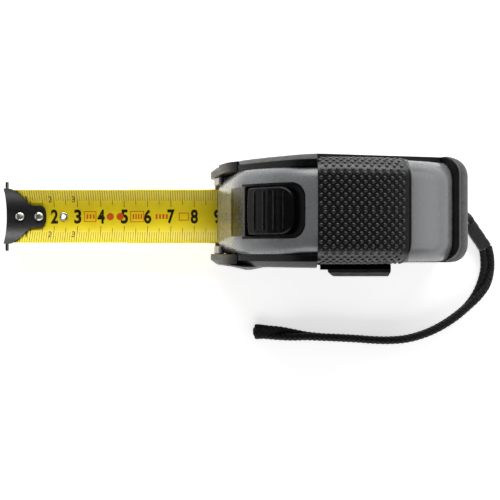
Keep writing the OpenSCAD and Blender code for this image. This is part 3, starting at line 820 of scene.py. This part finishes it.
def button():
    nu, nv = 84, 56
    us = 3.6 + (24 - 3.6) * (0.5 - 0.5 * np.cos(np.linspace(0, math.pi, nu)) * 0.55 - 0.0)
    us = 3.6 + (24 - 3.6) * (np.linspace(0, 1, nu) * 0.75 + 0.25 * (0.5 - 0.5 * np.cos(np.linspace(0, math.pi, nu))))
    vs = np.sin(np.linspace(-math.pi / 2, math.pi / 2, nv)) * 0.4 + np.linspace(-1, 1, nv) * 0.6

    def half(u):
        h = 8.7
        if u < 5.0:
            h = 8.7 - 1.4 + math.sqrt(max(0, 1.4 ** 2 - (5.0 - u) ** 2))
        if u > 18.8:
            h = 3.5 + 5.2 * math.sqrt(max(0, 1 - ((u - 18.8) / 5.2) ** 2))
        return h

    knots_u = [3.6, 4.0, 4.8, 8.4, 14, 19.5, 22.8, 24]
    knots_n = [2.7, 3.5, 4.0, 4.55, 4.7, 4.15, 3.2, 2.2]
    ridges = [7.8, 12.2, 16.7, 20.6]

    def height(u, v):
        n = np.interp(u, knots_u, knots_n)
        n -= 0.55 * v * v
        y = v * half(u)
        edge = min(8.7 - abs(y), u - 3.6, 24 - u, half(u) * (1 - abs(v)))
        r = 0.9
        if edge < r:
            n -= r * (1 - math.sqrt(max(0, 1 - ((r - edge) / r) ** 2))) * 0.9
        fade = min(1, max(0, (0.84 - abs(v)) / 0.06))
        for c in ridges:
            d = u - (c + 0.5 * (1 - v * v) - 0.25)
            n += 0.24 * fade * math.exp(-(d / 0.28) ** 2)
            n -= 0.05 * fade * math.exp(-((d - 1.0) / 0.7) ** 2)
        return n

    verts, faces = [], []
    for u in us:
        for v in vs:
            verts.append(on_slope(u, v * half(u), height(u, v)) * MM)
    for i in range(nu - 1):
        for j in range(nv - 1):
            faces.append((i * nv + j, i * nv + j + 1, (i + 1) * nv + j + 1, (i + 1) * nv + j))
    rim = [0 * nv + j for j in range(nv)] + [i * nv + nv - 1 for i in range(1, nu)] + \
          [(nu - 1) * nv + j for j in range(nv - 2, -1, -1)] + [i * nv for i in range(nu - 2, 0, -1)]
    base = len(verts)
    for i, k in enumerate(rim):
        p = np.array(verts[k]) / MM
        d = p - np.array([SX, 0, SZ])
        u, n = 0.8 * d[0] + 0.6 * d[2], -0.6 * d[0] + 0.8 * d[2]
        verts.append(on_slope(u, p[1], 0.42) * MM)
    m = len(rim)
    for i in range(m):
        j = (i + 1) % m
        faces.append((rim[i], base + i, base + j, rim[j]))
    faces.append(tuple(base + i for i in range(m)))
    return mesh_from("thumb_button", verts, faces, smooth=50)


btn = button()
put(btn, "plastic")
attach(btn, "lock")
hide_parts("lock_button")

# ------------------------------------------------------------- blade scale
BZ = 21.9
ZERO = -137.6


def lay(verts, faces, outline, R, x0=0.0, lift=0.02):
    """A flat figure, given in plan, laid on the blade's hollow face."""
    base = len(verts)
    for x, y in outline:
        verts.append(np.array([x + x0, y, BZ - math.sqrt((R - lift) ** 2 - y * y)]) * MM)
    faces.append(tuple(range(base, base + len(outline))))


def bar(verts, faces, xa, xb, ya, yb, R):
    n = max(1, int(abs(yb - ya) / 0.7))
    ys = np.linspace(ya, yb, n + 1)
    for a, b in zip(ys[:-1], ys[1:]):
        lay(verts, faces, [(xa, a), (xb, a), (xb, b), (xa, b)], R)


def figure(text, x, y, height, width, R, verts, faces, bold=0.0):
    """A number, its middle at x, y, laid on the blade."""
    if text == "1":
        h, w = height / 2, width
        for k in range(6):
            a, b = -h + height * k / 6, -h + height * (k + 1) / 6
            lay(verts, faces, [(x - w * 0.1, y + a), (x + w * 0.2, y + a), (x + w * 0.2, y + b), (x - w * 0.1, y + b)], R)
        lay(verts, faces, [(x - w * 0.1, y + h), (x - w * 0.5, y + h * 0.62), (x - w * 0.5, y + h * 0.36),
                           (x - w * 0.1, y + h * 0.64)], R)
        return
    cu = bpy.data.curves.new("n", "FONT")
    cu.body = text
    cu.size = 1.0
    cu.offset = bold
    cu.resolution_u = 6
    o = bpy.data.objects.new("n", cu)
    scene.collection.objects.link(o)
    dg = bpy.context.evaluated_depsgraph_get()
    me = bpy.data.meshes.new_from_object(o.evaluated_get(dg))
    bpy.data.objects.remove(o)
    bm = bmesh.new()
    bm.from_mesh(me)
    bpy.data.meshes.remove(me)
    bpy.data.curves.remove(cu)
    bmesh.ops.remove_doubles(bm, verts=bm.verts, dist=1e-5)
    co = np.array([v.co for v in bm.verts])
    lo, hi = co.min(0), co.max(0)
    for v in bm.verts:
        v.co = ((v.co.x - (lo[0] + hi[0]) / 2) / (hi[0] - lo[0]) * width,
                (v.co.y - (lo[1] + hi[1]) / 2) / (hi[1] - lo[1]) * height, 0)
    for k in range(1, 12):
        yy = -height / 2 + height * k / 12
        bmesh.ops.bisect_plane(bm, geom=bm.verts[:] + bm.edges[:] + bm.faces[:], plane_co=(0, yy, 0), plane_no=(0, 1, 0))
    base = len(verts)
    bm.verts.index_update()
    for v in bm.verts:
        yy = y + v.co.y
        verts.append(np.array([x + v.co.x, yy, BZ - math.sqrt((R - 0.02) ** 2 - yy * yy)]) * MM)
    for f in bm.faces:
        faces.append(tuple(base + v.index for v in f.verts))
    bm.free()


def ticks(first, last, zero, R, edge, verts, faces):
    for k in range(first, last + 1):
        if k % 10 == 0:
            ln, w = 6.9, 0.22
        elif k % 5 == 0:
            ln, w = 6.0, 0.20
        else:
            ln, w = 4.2, 0.17
        x = zero + k
        for s in (1, -1):
            bar(verts, faces, x - w / 2, x + w / 2, s * edge, s * (edge - ln), R)


def flat_mesh(name, verts, faces):
    me = bpy.data.meshes.new(name)
    me.from_pydata([tuple(v) for v in verts], [], faces)
    me.update()
    bm = bmesh.new()
    bm.from_mesh(me)
    for f in bm.faces:
        f.normal_update()
        if f.normal.z < 0:
            f.normal_flip()
    bm.to_mesh(me)
    bm.free()
    me.polygons.foreach_set("use_smooth", [True] * len(me.polygons))
    return new_object(name, me)


v, f = [], []
R1 = 15.65
ZERO -= 0.55
ticks(4, 93, ZERO, R1, 10.95, v, f)
for k in range(2, 10):
    figure(str(k), ZERO + 10 * k, 0, 6.1, 3.1, R1, v, f, bold=0.035)
for k in (1, 2, 3):
    for s, yy in ((1, 7.3), (-1, -7.6)):
        figure(str(k), ZERO + 10 * k - 1.6, yy, 2.5, 1.4, R1, v, f, bold=0.0)
ink = flat_mesh("scale_print", v, f)
put(ink, "ink")
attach(ink, "blade")

v, f = [], []
R2 = 16.05
Z2 = -137.6 - 84 + 42
ticks(94, 176, Z2, R2, 11.0, v, f)
for k in range(10, 18):
    figure(str(k), Z2 + 10 * k, 0, 6.1, 5.2, R2, v, f, bold=0.035)
ink2 = flat_mesh("scale_print_2", v, f)
put(ink2, "ink")
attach(ink2, "blade_follow")


# plain red figures between the numbers
def ring(verts, faces, xa, xb, ya, yb, w, R):
    bar(verts, faces, xa, xa + w, ya, yb, R)
    bar(verts, faces, xb - w, xb, ya, yb, R)
    bar(verts, faces, xa + w, xb - w, ya, ya + w, R)
    bar(verts, faces, xa + w, xb - w, yb - w, yb, R)


def px(p):
    return -34.25 + (p - 250) / 2.335


v, f = [], []
ring(v, f, px(83.7), px(96), -2.3, 2.3, 0.34, R1)
for k in range(3):
    bar(v, f, px(86.2) + 1.35 * k, px(86.2) + 1.35 * k + 0.7, -1.0, 1.0, R1)
for k in range(2):
    c = px(110) + 4.2 * k
    lay(v, f, [(c + 1.55 * math.cos(t), 1.55 * math.sin(t)) for t in np.linspace(0, 2 * math.pi, 28, endpoint=False)], R1)
ring(v, f, px(130), px(144), -2.4, 2.4, 0.34, R1)
for k in range(4):
    bar(v, f, px(132.4) + 1.15 * k, px(132.4) + 1.15 * k + 0.6, -1.1, 1.1, R1)
for k in range(4):
    c = px(155.4) + 1.45 * k
    bar(v, f, c, c + 0.85, -1.05, 1.05, R1)
ring(v, f, px(178.6), px(188.6), -1.7, 1.7, 0.36, R1)
red = flat_mesh("red_print", v, f)
put(red, "red_ink")
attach(red, "blade")

# ------------------------------------------------------------ light, floor
world = bpy.data.worlds.new("world")
scene.world = world
world.use_nodes = True
bg = world.node_tree.nodes["Background"]
bg.inputs["Color"].default_value = (1, 1, 1, 1)
wt = world.node_tree
wc = wt.nodes.new("ShaderNodeTexCoord")
wx = wt.nodes.new("ShaderNodeSeparateXYZ")
wr = wt.nodes.new("ShaderNodeMapRange")
wr.inputs["From Min"].default_value = 0.03
wr.inputs["From Max"].default_value = 0.14
wr.inputs["To Min"].default_value = 1.0
wr.inputs["To Max"].default_value = 0.10
wt.links.new(wc.outputs["Generated"], wx.inputs["Vector"])
wt.links.new(wx.outputs["Z"], wr.inputs["Value"])
wt.links.new(wr.outputs["Result"], bg.inputs["Strength"])


def area(name, loc, target, size, power, size_y=None):
    d = bpy.data.lights.new(name, "AREA")
    d.energy = power
    d.shape = "RECTANGLE"
    d.size = size
    d.size_y = size_y or size
    o = bpy.data.objects.new(name, d)
    scene.collection.objects.link(o)
    o.location = loc
    o.rotation_euler = (Vector(target) - Vector(loc)).to_track_quat("-Z", "Y").to_euler()
    return o


area("key", (0.05, 0.80, 0.40), (0, 0.02, 0.04), 1.3, 12.1, 0.5)
area("fill", (0.0, -0.80, 0.34), (0, -0.02, 0.04), 1.2, 5.0, 0.45)
area("rear", (0.85, 0.05, 0.30), (0.03, 0, 0.04), 1.0, 2.1, 0.35)
area("front", (-0.95, 0.05, 0.22), (-0.06, 0, 0.04), 1.0, 0.9, 0.3)

fm = material("floor", (0.90, 0.90, 0.90), 0.6, spec=0.2, grain=[(900, 0.05, 0.0001)])
bm = bmesh.new()
bmesh.ops.create_grid(bm, x_segments=4, y_segments=4, size=5.0)
fme = bpy.data.meshes.new("floor")
bm.to_mesh(fme)
bm.free()
fb = fm.node_tree.nodes["Principled BSDF"]
fb.inputs["Emission Color"].default_value = (1, 1, 1, 1)
fb.inputs["Emission Strength"].default_value = 0.62
floor = new_object("floor", fme)
floor.location = (0, 0, 0.0)
fme.materials.append(fm)
